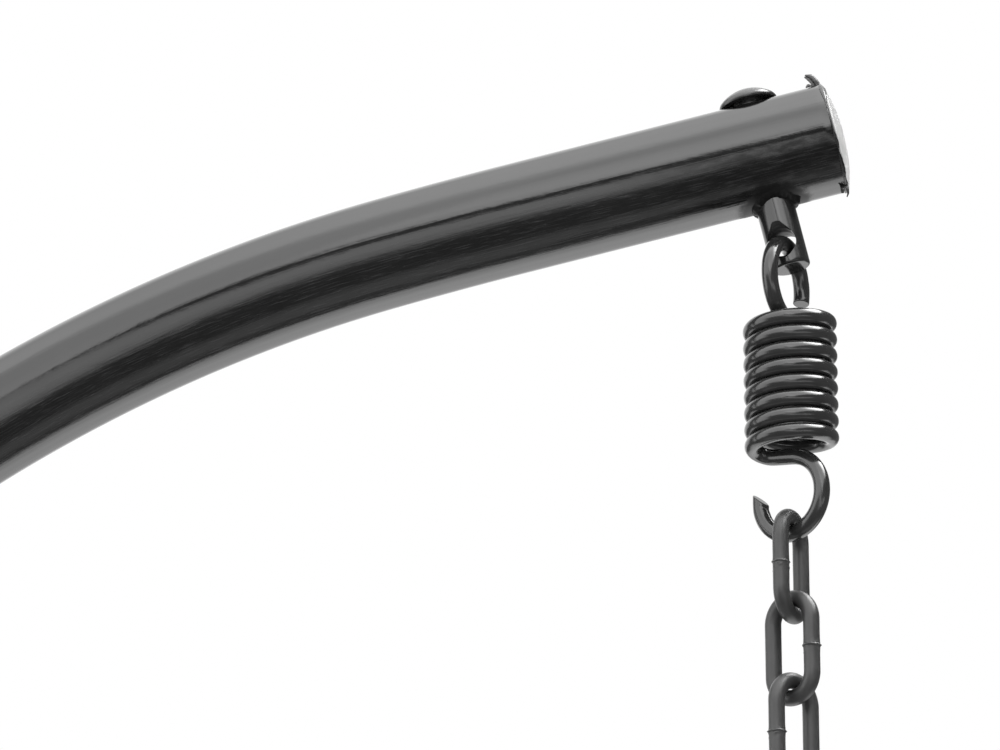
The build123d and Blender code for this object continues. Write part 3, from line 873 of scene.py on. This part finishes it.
# ---------------------------------------------------------------------------
# Weld bead where the pin leaves the tube
# ---------------------------------------------------------------------------
def make_weld():
    """Fillet weld: a hollow-faced bead, widest towards the viewer's side and its opposite, lumpy at the two ends."""
    n, m = 240, 22
    verts, faces, fuv = [], [], []
    for i in range(n):
        a = 2 * math.pi * i / n
        ca_, sa_ = math.cos(a), math.sin(a)
        e = ca_ * TDIR + sa_ * YDIR                           # away from the pin's axis
        d3 = np.array([ca_, sa_, 0.0])
        r_out = 10.4 + 2.6 * sa_ * sa_ + 0.45 * nz(d3 * 1.7, 1.0, 4.0) + 0.35 * nz(d3 * 5.0, 1.0, 7.0)
        leg_dn = 2.9 - 2.7 * sa_ * sa_ + 0.35 * nz(d3 * 1.9, 1.0, 14.0) + 0.3 * nz(d3 * 6.0, 1.0, 17.0)
        # a lump on the tip side and a smaller one on the post side, both a little towards -Y
        r_out += 1.5 * math.exp(-((a - (2 * math.pi - 0.38)) / 0.20) ** 2) + 0.3 * math.exp(-((a - (math.pi + 0.33)) / 0.22) ** 2)
        r_in = PIN_R - 0.25

        def surf(r):
            y = r * sa_
            return math.sqrt(TUBE_R ** 2 - y * y)

        j0 = surf(PIN_R)
        p_in = np.array([r_in, j0 + max(0.25, leg_dn)])
        p_out = np.array([r_out, surf(r_out) - 0.12])
        ring = []
        for j in range(m):
            t = j / (m - 1)
            p = p_in * (1 - t) + p_out * t
            nrm = np.array([p_in[1] - p_out[1], p_out[0] - p_in[0]])
            nrm = nrm / np.linalg.norm(nrm)
            bulge = math.sin(math.pi * t) * (0.15 + 0.30 * abs(ca_) + 0.30 * nz(d3 * 6.0 + np.array([0, 0, t]), 1.0, 31.0))
            bulge += 0.06 * math.sin(a * 24 + 2.2 * t + 2.5 * nz(d3 * 3.0, 1.0, 2.0)) * math.sin(math.pi * t)
            lump = 0.9 * math.exp(-((a - (2 * math.pi - 0.38)) / 0.18) ** 2) + 0.2 * math.exp(-((a - (math.pi + 0.33)) / 0.2) ** 2)
            bulge += lump * math.sin(math.pi * min(1.0, t * 1.1)) ** 2
            # keep the face outside the tube
            q = p + nrm * bulge
            floor_h = surf(min(q[0], 23.0)) + 0.05 - 0.17 * t ** 6
            ring.append((q[0], max(q[1], floor_h)))
        ring.append((r_out - 0.3, surf(r_out) - 0.8))
        ring.append((r_in, j0 - 0.9))
        for r, h in ring:
            verts.append(e * r + DDIR * h)
    mm = m + 2
    for i in range(n):
        j = (i + 1) % n
        for k in range(mm):
            l = (k + 1) % mm
            faces.append((i * mm + k, j * mm + k, j * mm + l, i * mm + l))
            u0, u1 = i * 0.0003, (i + 1) * 0.0003
            fuv += [(u0, k * 0.0003), (u1, k * 0.0003), (u1, (k + 1) * 0.0003), (u0, (k + 1) * 0.0003)]
    ob = uv_faces("weld_bead", M(np.array(verts)), faces, fuv)
    fix_normals(ob)
    paint(ob, MAT["weld"])
    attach(ob, "arm")
    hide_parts("pin_weld")
    return ob


weld = make_weld()


# ---------------------------------------------------------------------------
# Tip: pale domed plug, and the torn film round the tube's end
# ---------------------------------------------------------------------------
TIP = TDIR * OVERHANG
UP = -DDIR                      # across the tube, towards its top


def make_plug():
    ri = TUBE_R - WALL
    prof = [(0, 0.9), (ri - 2.1, 0.9), (ri - 2.1, -14.0), (ri - 0.2, -14.0), (ri - 0.2, 0.3), (TUBE_R - 0.8, 0.3), (TUBE_R - 0.5, 1.2)]
    prof = rounded(prof, [0, 1.2, 0.4, 0.4, 0.3, 0.5, 0], 4)
    r0, z0, z1 = TUBE_R - 0.5, 1.2, 4.9
    h = z1 - z0
    R = (r0 * r0 + h * h) / (2 * h)
    a1 = math.asin(r0 / R)
    for j in range(1, 30):
        a = a1 * (1 - j / 30)
        prof.append((R * math.sin(a), z1 - R + R * math.cos(a)))
    prof.append((0, z1))

    def wob(r, hh, p):
        # thin moulding, slightly uneven
        if hh > 0.5:
            hh = hh + 0.18 * nz([r * math.cos(p), r * math.sin(p), 0], 0.09, 5.0) + 0.05 * nz([r * math.cos(p), r * math.sin(p), 0], 0.4, 8.0)
        return r, hh

    ob = lathe("plug_dome", prof, TIP, TDIR, UP, 128, wob)
    paint(ob, MAT["plug"])
    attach(ob, "arm")
    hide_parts("end_plug")
    return ob


plug = make_plug()


def make_film():
    """Torn black film round the tube's end: a thin ragged line that widens into flakes lapping over the rim."""
    n = 480
    th = 0.22
    rows = 9
    # angle from the top of the rim (+ towards +Y), half width, amount: the larger flakes
    flakes = [(-46, 17, 1.9), (-10, 6, 0.9), (-108, 4, 0.7), (-116, 4, 0.9), (-133, 6, 0.8), (-146, 9, 1.3), (-168, 9, 1.0),
              (25, 10, 1.0), (62, 16, 1.3), (110, 9, 0.8), (150, 14, 1.4)]
    grid = []
    for i in range(n):
        deg = 360.0 * i / n
        a = math.radians(deg)
        e = math.cos(a) * UP + math.sin(a) * YDIR
        d2 = np.array([math.cos(a), math.sin(a), 0])
        sd = deg if deg <= 180 else deg - 360
        w = 0.0
        for c, h, amt in flakes:
            w += amt * math.exp(-abs((sd - c) / h) ** 2.6)
        fine = nz(d2 * 24.0, 1.0, 47.0)
        mid = nz(d2 * 9.0, 1.0, 43.0)
        back = -0.18 - 0.42 * w - 0.22 * max(0.0, mid) - 0.12 * abs(fine)
        front = 0.22 + 0.72 * w + 0.30 * max(0.0, mid) + 0.22 * fine
        front = float(np.clip(front, 0.12, 1.75))
        lift = 0.06 + 0.22 * max(0.0, nz(d2 * 5.0, 1.0, 57.0)) + 0.05 * w
        ro, rin = [], []
        for k in range(rows):
            t = k / (rows - 1)
            x = back + (front - back) * t
            r = TUBE_R + 0.08 + lift * float(smooth(t, 0.2, 0.8)) - 1.15 * float(smooth(x, 0.05, 1.7))
            p = TIP + TDIR * x + e * r
            ro.append(p + e * th * (0.35 if k in (0, rows - 1) else 1.0))
            rin.append(p)
        grid.append(ro + rin[::-1])
    verts = [v for g in grid for v in g]
    m = rows * 2
    faces, fuv = [], []
    for i in range(n):
        j = (i + 1) % n
        for k in range(m):
            l = (k + 1) % m
            faces.append((i * m + k, j * m + k, j * m + l, i * m + l))
            u0, u1 = i * 0.0004, (i + 1) * 0.0004
            fuv += [(u0, k * 0.0004), (u1, k * 0.0004), (u1, (k + 1) * 0.0004), (u0, (k + 1) * 0.0004)]
    ob = uv_faces("film_band", M(np.array(verts)), faces, fuv)
    fix_normals(ob)
    paint(ob, MAT["film"])
    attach(ob, "arm")
    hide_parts("end_film")
    return ob


film = make_film()


def leaf(name, spine, widths, side, thick=0.3, curl=0.0):
    """A torn flake: a thin strip along spine, widths across it, cupped by curl."""
    spine = np.asarray(spine, float)
    s = lengths(spine)
    g = np.linspace(0, s[-1], 26)
    sp = np.stack([np.interp(g, s, spine[:, i]) for i in range(3)], 1)
    for _ in range(4):
        sp[1:-1] = 0.25 * sp[:-2] + 0.5 * sp[1:-1] + 0.25 * sp[2:]
    w = np.interp(g, s, widths)
    tan = np.gradient(sp, axis=0)
    tan /= np.linalg.norm(tan, axis=1)[:, None]
    cols = 9
    top, bot = [], []
    for i in range(len(g)):
        sd = np.asarray(side, float) - tan[i] * (np.asarray(side, float) @ tan[i])
        sd /= np.linalg.norm(sd)
        nn = np.cross(tan[i], sd)
        rt, rb = [], []
        for k in range(cols):
            x = (k / (cols - 1) - 0.5) * 2
            wob = 1 + 0.18 * nz([g[i] * 0.9, x * 2, 0], 1.0, 61.0 + len(name))
            p = sp[i] + sd * x * w[i] / 2 * wob + nn * (curl * w[i] * (x * x - 0.4))
            tk = thick * (1 - 0.7 * abs(x) ** 3)
            rt.append(p + nn * tk / 2)
            rb.append(p - nn * tk / 2)
        top.append(rt)
        bot.append(rb)
    verts, m = [], cols * 2
    for i in range(len(g)):
        verts += top[i] + bot[i][::-1]
    faces = []
    for i in range(len(g) - 1):
        for k in range(m):
            l = (k + 1) % m
            faces.append((i * m + k, (i + 1) * m + k, (i + 1) * m + l, i * m + l))
    for i, rev in ((0, False), (len(g) - 1, True)):
        b = i * m
        for k in range(cols - 1):
            q = (b + k, b + k + 1, b + m - 2 - k, b + m - 1 - k)
            faces.append(q if not rev else q[::-1])
    ob = new_object(name, M(np.array(verts)), faces)
    bm = bmesh.new(); bm.from_mesh(ob.data)
    bmesh.ops.remove_doubles(bm, verts=bm.verts, dist=1e-7)
    bm.to_mesh(ob.data); bm.free()
    fix_normals(ob)
    paint(ob, MAT["film"])
    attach(ob, "arm")
    return ob


def tp(x, up, y):
    """Point at the tip: x beyond the tube's end, up across the tube, y towards the far side (all mm)."""
    return TIP + TDIR * x + UP * up + YDIR * y


# a forked, curled flake stands up on top, with a small hook beside it; short tags hang at the bottom
FACE = [0.66, 0.12, 0.76]
leaf("flake_top_a", [tp(-0.5, 22.6, -3.0), tp(-0.3, 24.4, -3.2), tp(-1.1, 26.9, -3.6), tp(-2.6, 29.2, -3.6), tp(-4.7, 30.4, -3.0)],
     [2.6, 2.5, 2.3, 2.1, 0.8], FACE, 0.5, 0.10)
leaf("flake_top_b", [tp(-1.4, 22.6, -2.6), tp(-1.8, 24.4, -2.9), tp(-2.7, 26.4, -3.2), tp(-3.9, 28.3, -3.3), tp(-5.2, 29.6, -3.0)],
     [2.4, 2.1, 1.6, 1.4, 0.6], FACE, 0.5, -0.10)
leaf("flake_hook", [tp(-2.0, 23.2, -2.4), tp(-3.4, 24.8, -2.8), tp(-4.6, 25.5, -3.0), tp(-5.7, 24.8, -3.0)],
     [2.3, 2.0, 1.6, 0.7], [0.3, 0.2, 0.9], 0.5, 0.1)
leaf("tag_low_a", [tp(-0.1, -23.2, -4.0), tp(0.2, -25.2, -4.0), tp(0.1, -27.2, -3.6), tp(-0.9, -28.6, -3.0)],
     [1.6, 1.2, 0.9, 0.4], [1, 0.2, 0.2], 0.5, 0.15)
leaf("tag_low_b", [tp(-1.5, -23.4, -4.2), tp(-1.9, -25.2, -4.4), tp(-2.4, -26.8, -4.0)],
     [2.3, 2.0, 0.9], [1, 0.3, 0.1], 0.6, 0.2)

# ---------------------------------------------------------------------------
# Spigot and its bolt: the CAD pieces, in zinc
# ---------------------------------------------------------------------------
paint_node("post_spigot", MAT["spigot"])
for nname in ("spigot_bolt", "spigot_washers", "spigot_nut"):
    paint_node(nname, MAT["zinc"])

# ---------------------------------------------------------------------------
# Floor, light and camera
# ---------------------------------------------------------------------------
scene = bpy.context.scene
scene.view_settings.view_transform = "Standard"
scene.view_settings.look = "None"
scene.view_settings.exposure = 0.0
scene.view_settings.gamma = 1.0

world = bpy.data.worlds.new("studio")
scene.world = world
world.use_nodes = True
bg = world.node_tree.nodes["Background"]
bg.inputs["Color"].default_value = (1, 1, 1, 1)
bg.inputs["Strength"].default_value = 1.0

FLOOR_Z = -1.10
fm = Nodes("floor_pale")
fa = fm.noise(fm.coords((1, 1, 1)), 1.2, 4.0, 0.6)
fm.link(fm.ramp(fa, [(0.3, 0.80), (0.7, 0.83)]), fm.bsdf.inputs["Base Color"])
fm.set(Roughness=0.9, Specular_IOR_Level=0.1)
n = 64
fv = [(0.3 + 40 * math.cos(2 * math.pi * i / n), 40 * math.sin(2 * math.pi * i / n), FLOOR_Z) for i in range(n)]
floor = new_object("floor", fv, [tuple(range(n))], False)
paint(floor, fm.mat)
floor.visible_glossy = False

# A large dome round the object, seen only in reflections: the softboxes and dark flags of the studio
dm = Nodes("studio_reflections")
dm.nt.nodes.remove(dm.bsdf)
em = dm.add("ShaderNodeEmission")
dm.link(em.outputs[0], dm.nt.nodes["Material Output"].inputs["Surface"])
tc = dm.add("ShaderNodeTexCoord")
nv = dm.add("ShaderNodeVectorMath", operation="NORMALIZE")
dm.link(tc.outputs["Object"], nv.inputs[0])
sep = dm.add("ShaderNodeSeparateXYZ")
dm.link(nv.outputs[0], sep.inputs[0])
X, Y, Zc = sep.outputs
DEG = 180 / math.pi
elev = dm.math("MULTIPLY", dm.math("ARCSINE", Zc), DEG)
az = dm.math("MULTIPLY", dm.math("ARCTAN2", X, dm.math("MULTIPLY", Y, -1.0)), DEG)      # 0 towards -Y, + towards +X
absaz = dm.math("ABSOLUTE", az)
wav = dm.noise(dm.coords((1, 1, 1)), 0.9, 3.0, 0.6)
elw = dm.math("ADD", elev, dm.math("MULTIPLY", dm.math("SUBTRACT", wav, 0.5), 3.0))


def mul(*a):
    r = a[0]
    for b in a[1:]:
        r = dm.math("MULTIPLY", r, b)
    return r


def add(*a):
    r = a[0]
    for b in a[1:]:
        r = dm.math("ADD", r, b)
    return r



# psi turns about the row's X axis: 0 towards the viewer's side, 90 up, -90 down, 180 behind
psi = dm.math("MULTIPLY", dm.math("ARCTAN2", Zc, dm.math("MULTIPLY", Y, -1.0)), DEG)
near_level = mul(dm.maprange(psi, 38, 58, 1, 0), dm.maprange(psi, -34, -14, 0, 1))
slant = dm.math("MULTIPLY", X, 52.0)
psi2 = add(psi, mul(slant, near_level))
stops = [(-180, 1.1), (-166, 1.15), (-145, 2.2), (-134, 3.0), (-116, 2.9), (-109, 0.35), (-98, 0.3), (-92, 0.8), (-72, 0.75),
         (-64, 0.22), (-34, 0.2), (-23, 0.35), (-17, 1.2), (-12, 2.0), (-4, 2.5), (2.5, 2.4), (4.8, 0.35), (10.3, 0.35), (13.0, 4.3),
         (21, 5.0), (30, 4.8), (38, 4.3), (48, 3.8), (58, 4.0), (70, 5.2), (80, 4.7), (97, 3.3), (116, 1.8), (150, 1.2), (180, 1.1)]
fac = dm.maprange(psi2, -180, 180, 0, 1, False)
ramp_node = dm.add("ShaderNodeValToRGB")
el_ = ramp_node.color_ramp.elements
while len(el_) < len(stops):
    el_.new(0.5)
for e_, (pos_, val_) in zip(el_, stops):
    e_.position = (pos_ + 180) / 360
    e_.color = (val_ / 6, val_ / 6, val_ / 6, 1)
dm.link(fac, ramp_node.inputs["Fac"])
level = dm.math("MULTIPLY", ramp_node.outputs["Color"], 6.0)
# away from the arm's own reflections the panel is even
aside = dm.math("MAXIMUM", dm.maprange(X, 0.10, 0.28, 0, 1), dm.maprange(X, -0.215, -0.18, 1, 0))
even = mul(aside, dm.maprange(psi, 2, 12, 0, 1), dm.maprange(psi, 50, 70, 1, 0))
level = add(mul(level, dm.math("SUBTRACT", 1.0, even)), mul(even, 4.1))
abse = dm.math("ABSOLUTE", elev)
# the panel reaches further round on the post's side the higher it goes
az_left = add(az, mul(dm.math("MAXIMUM", dm.math("SUBTRACT", elev, 20.0), 0.0), 1.2))
window = mul(dm.maprange(az_left, -86, -72, 0, 1), dm.maprange(az, 52, 66, 1, 0))
steep = dm.maprange(abse, 42, 54, 0, 1)
behind = dm.maprange(absaz, 146, 160, 0, 1)
lowback = mul(dm.maprange(absaz, 112, 128, 0, 1), dm.maprange(elev, -35, -20, 1, 0))
mask = dm.math("MAXIMUM", dm.math("MAXIMUM", window, steep), dm.math("MAXIMUM", behind, lowback))
# the panel falls off towards the post's side
fall = dm.maprange(X, -0.45, -0.05, 0.74, 1.0, False)
# towards +X the panel's lower edge climbs
climb = dm.math("SUBTRACT", elev, mul(dm.math("MAXIMUM", dm.math("SUBTRACT", az, 12.0), 0.0), 0.52))
climb = dm.maprange(climb, 10, 16, 0, 1)
near_side = mul(dm.maprange(X, 0.04, 0.36, 0, 1), dm.maprange(elev, -16, -5, 0, 1))
mask = mul(mask, add(dm.math("SUBTRACT", 1.0, near_side), mul(near_side, climb)))
total = mul(level, mask, fall)
# a bright high strip on the +X side, and a dim card low on the -X side with another behind it
high = dm.math("SUBTRACT", elev, mul(dm.math("MAXIMUM", dm.math("SUBTRACT", az, 12.0), 0.0), 0.30))
strip = mul(dm.maprange(X, 0.10, 0.34, 0, 1), dm.maprange(high, 15, 20, 0, 1))
total = add(total, mul(strip, dm.maprange(az, 40, 100, 0.0, 18.0)))
card = mul(dm.maprange(az, -104, -98, 0, 1), dm.maprange(az, -66, -44, 1, 0), dm.maprange(elev, -30, -16, 0, 1), dm.maprange(elev, 48, 62, 1, 0))
card2 = mul(dm.maprange(az, -122, -115, 1, 0), dm.maprange(elev, -10, 0, 0, 1))
total = dm.math("MAXIMUM", total, mul(card, 3.0))
total = dm.math("MAXIMUM", total, mul(card2, 1.5))
total = dm.math("MAXIMUM", total, 0.18)
dm.link(total, em.inputs["Strength"])
bm = bmesh.new()
bmesh.ops.create_icosphere(bm, subdivisions=4, radius=9.0)
bmesh.ops.reverse_faces(bm, faces=bm.faces)
dome_me = bpy.data.meshes.new("dome")
bm.to_mesh(dome_me)
bm.free()
dome = bpy.data.objects.new("reflection_dome", dome_me)
scene.collection.objects.link(dome)
dome.location = (OX / 1000, 0, OZ / 1000 - 0.1)
dome_me.materials.append(dm.mat)
for attr in ("visible_camera", "visible_diffuse", "visible_transmission", "visible_shadow", "visible_volume_scatter"):
    setattr(dome, attr, False)


def area(name, loc, target, size, power):
    l = bpy.data.lights.new(name, "AREA")
    l.shape = "RECTANGLE"
    l.size, l.size_y = size
    l.energy = power
    o = bpy.data.objects.new(name, l)
    scene.collection.objects.link(o)
    o.location = loc
    o.rotation_euler = (Vector(target) - Vector(loc)).to_track_quat("-Z", "Y").to_euler()
    o.visible_glossy = False
    return o


area("key", (-0.9, -1.9, 2.3), (0.6, 0, 0.6), (1.6, 1.2), 24)
area("fill", (2.3, -1.2, 0.9), (0.6, 0, 0.6), (1.2, 1.2), 3)

# Camera: the viewing direction of the picture, below the arm and looking up at it
F_PX, PITCH_DEG, YAW_DEG, DIST = 5000.0, 17.7, -6.0, 2161.4
th, ps = math.radians(PITCH_DEG), math.radians(YAW_DEG)
Fw = np.array([math.sin(ps) * math.cos(th), math.cos(ps) * math.cos(th), math.sin(th)])
Rt = np.array([math.cos(ps), -math.sin(ps), 0.0])
Upv = np.cross(Rt, Fw)
ca, cb = (762.0 - 500.0) / F_PX, -(156.6 - 375.0) / F_PX
Cpos = M(-DIST * (Fw + ca * Rt + cb * Upv))
cam_d = bpy.data.cameras.new("camera")
cam_d.sensor_fit = "HORIZONTAL"
cam_d.sensor_width = 36.0
cam_d.lens = F_PX / 1000.0 * 36.0
cam_d.clip_start, cam_d.clip_end = 0.05, 200
cam = bpy.data.objects.new("camera", cam_d)
scene.collection.objects.link(cam)
cam.matrix_world = Matrix(((Rt[0], Upv[0], -Fw[0], Cpos[0]), (Rt[1], Upv[1], -Fw[1], Cpos[1]),
                           (Rt[2], Upv[2], -Fw[2], Cpos[2]), (0, 0, 0, 1)))
scene.camera = cam

bpy.context.view_layer.update()
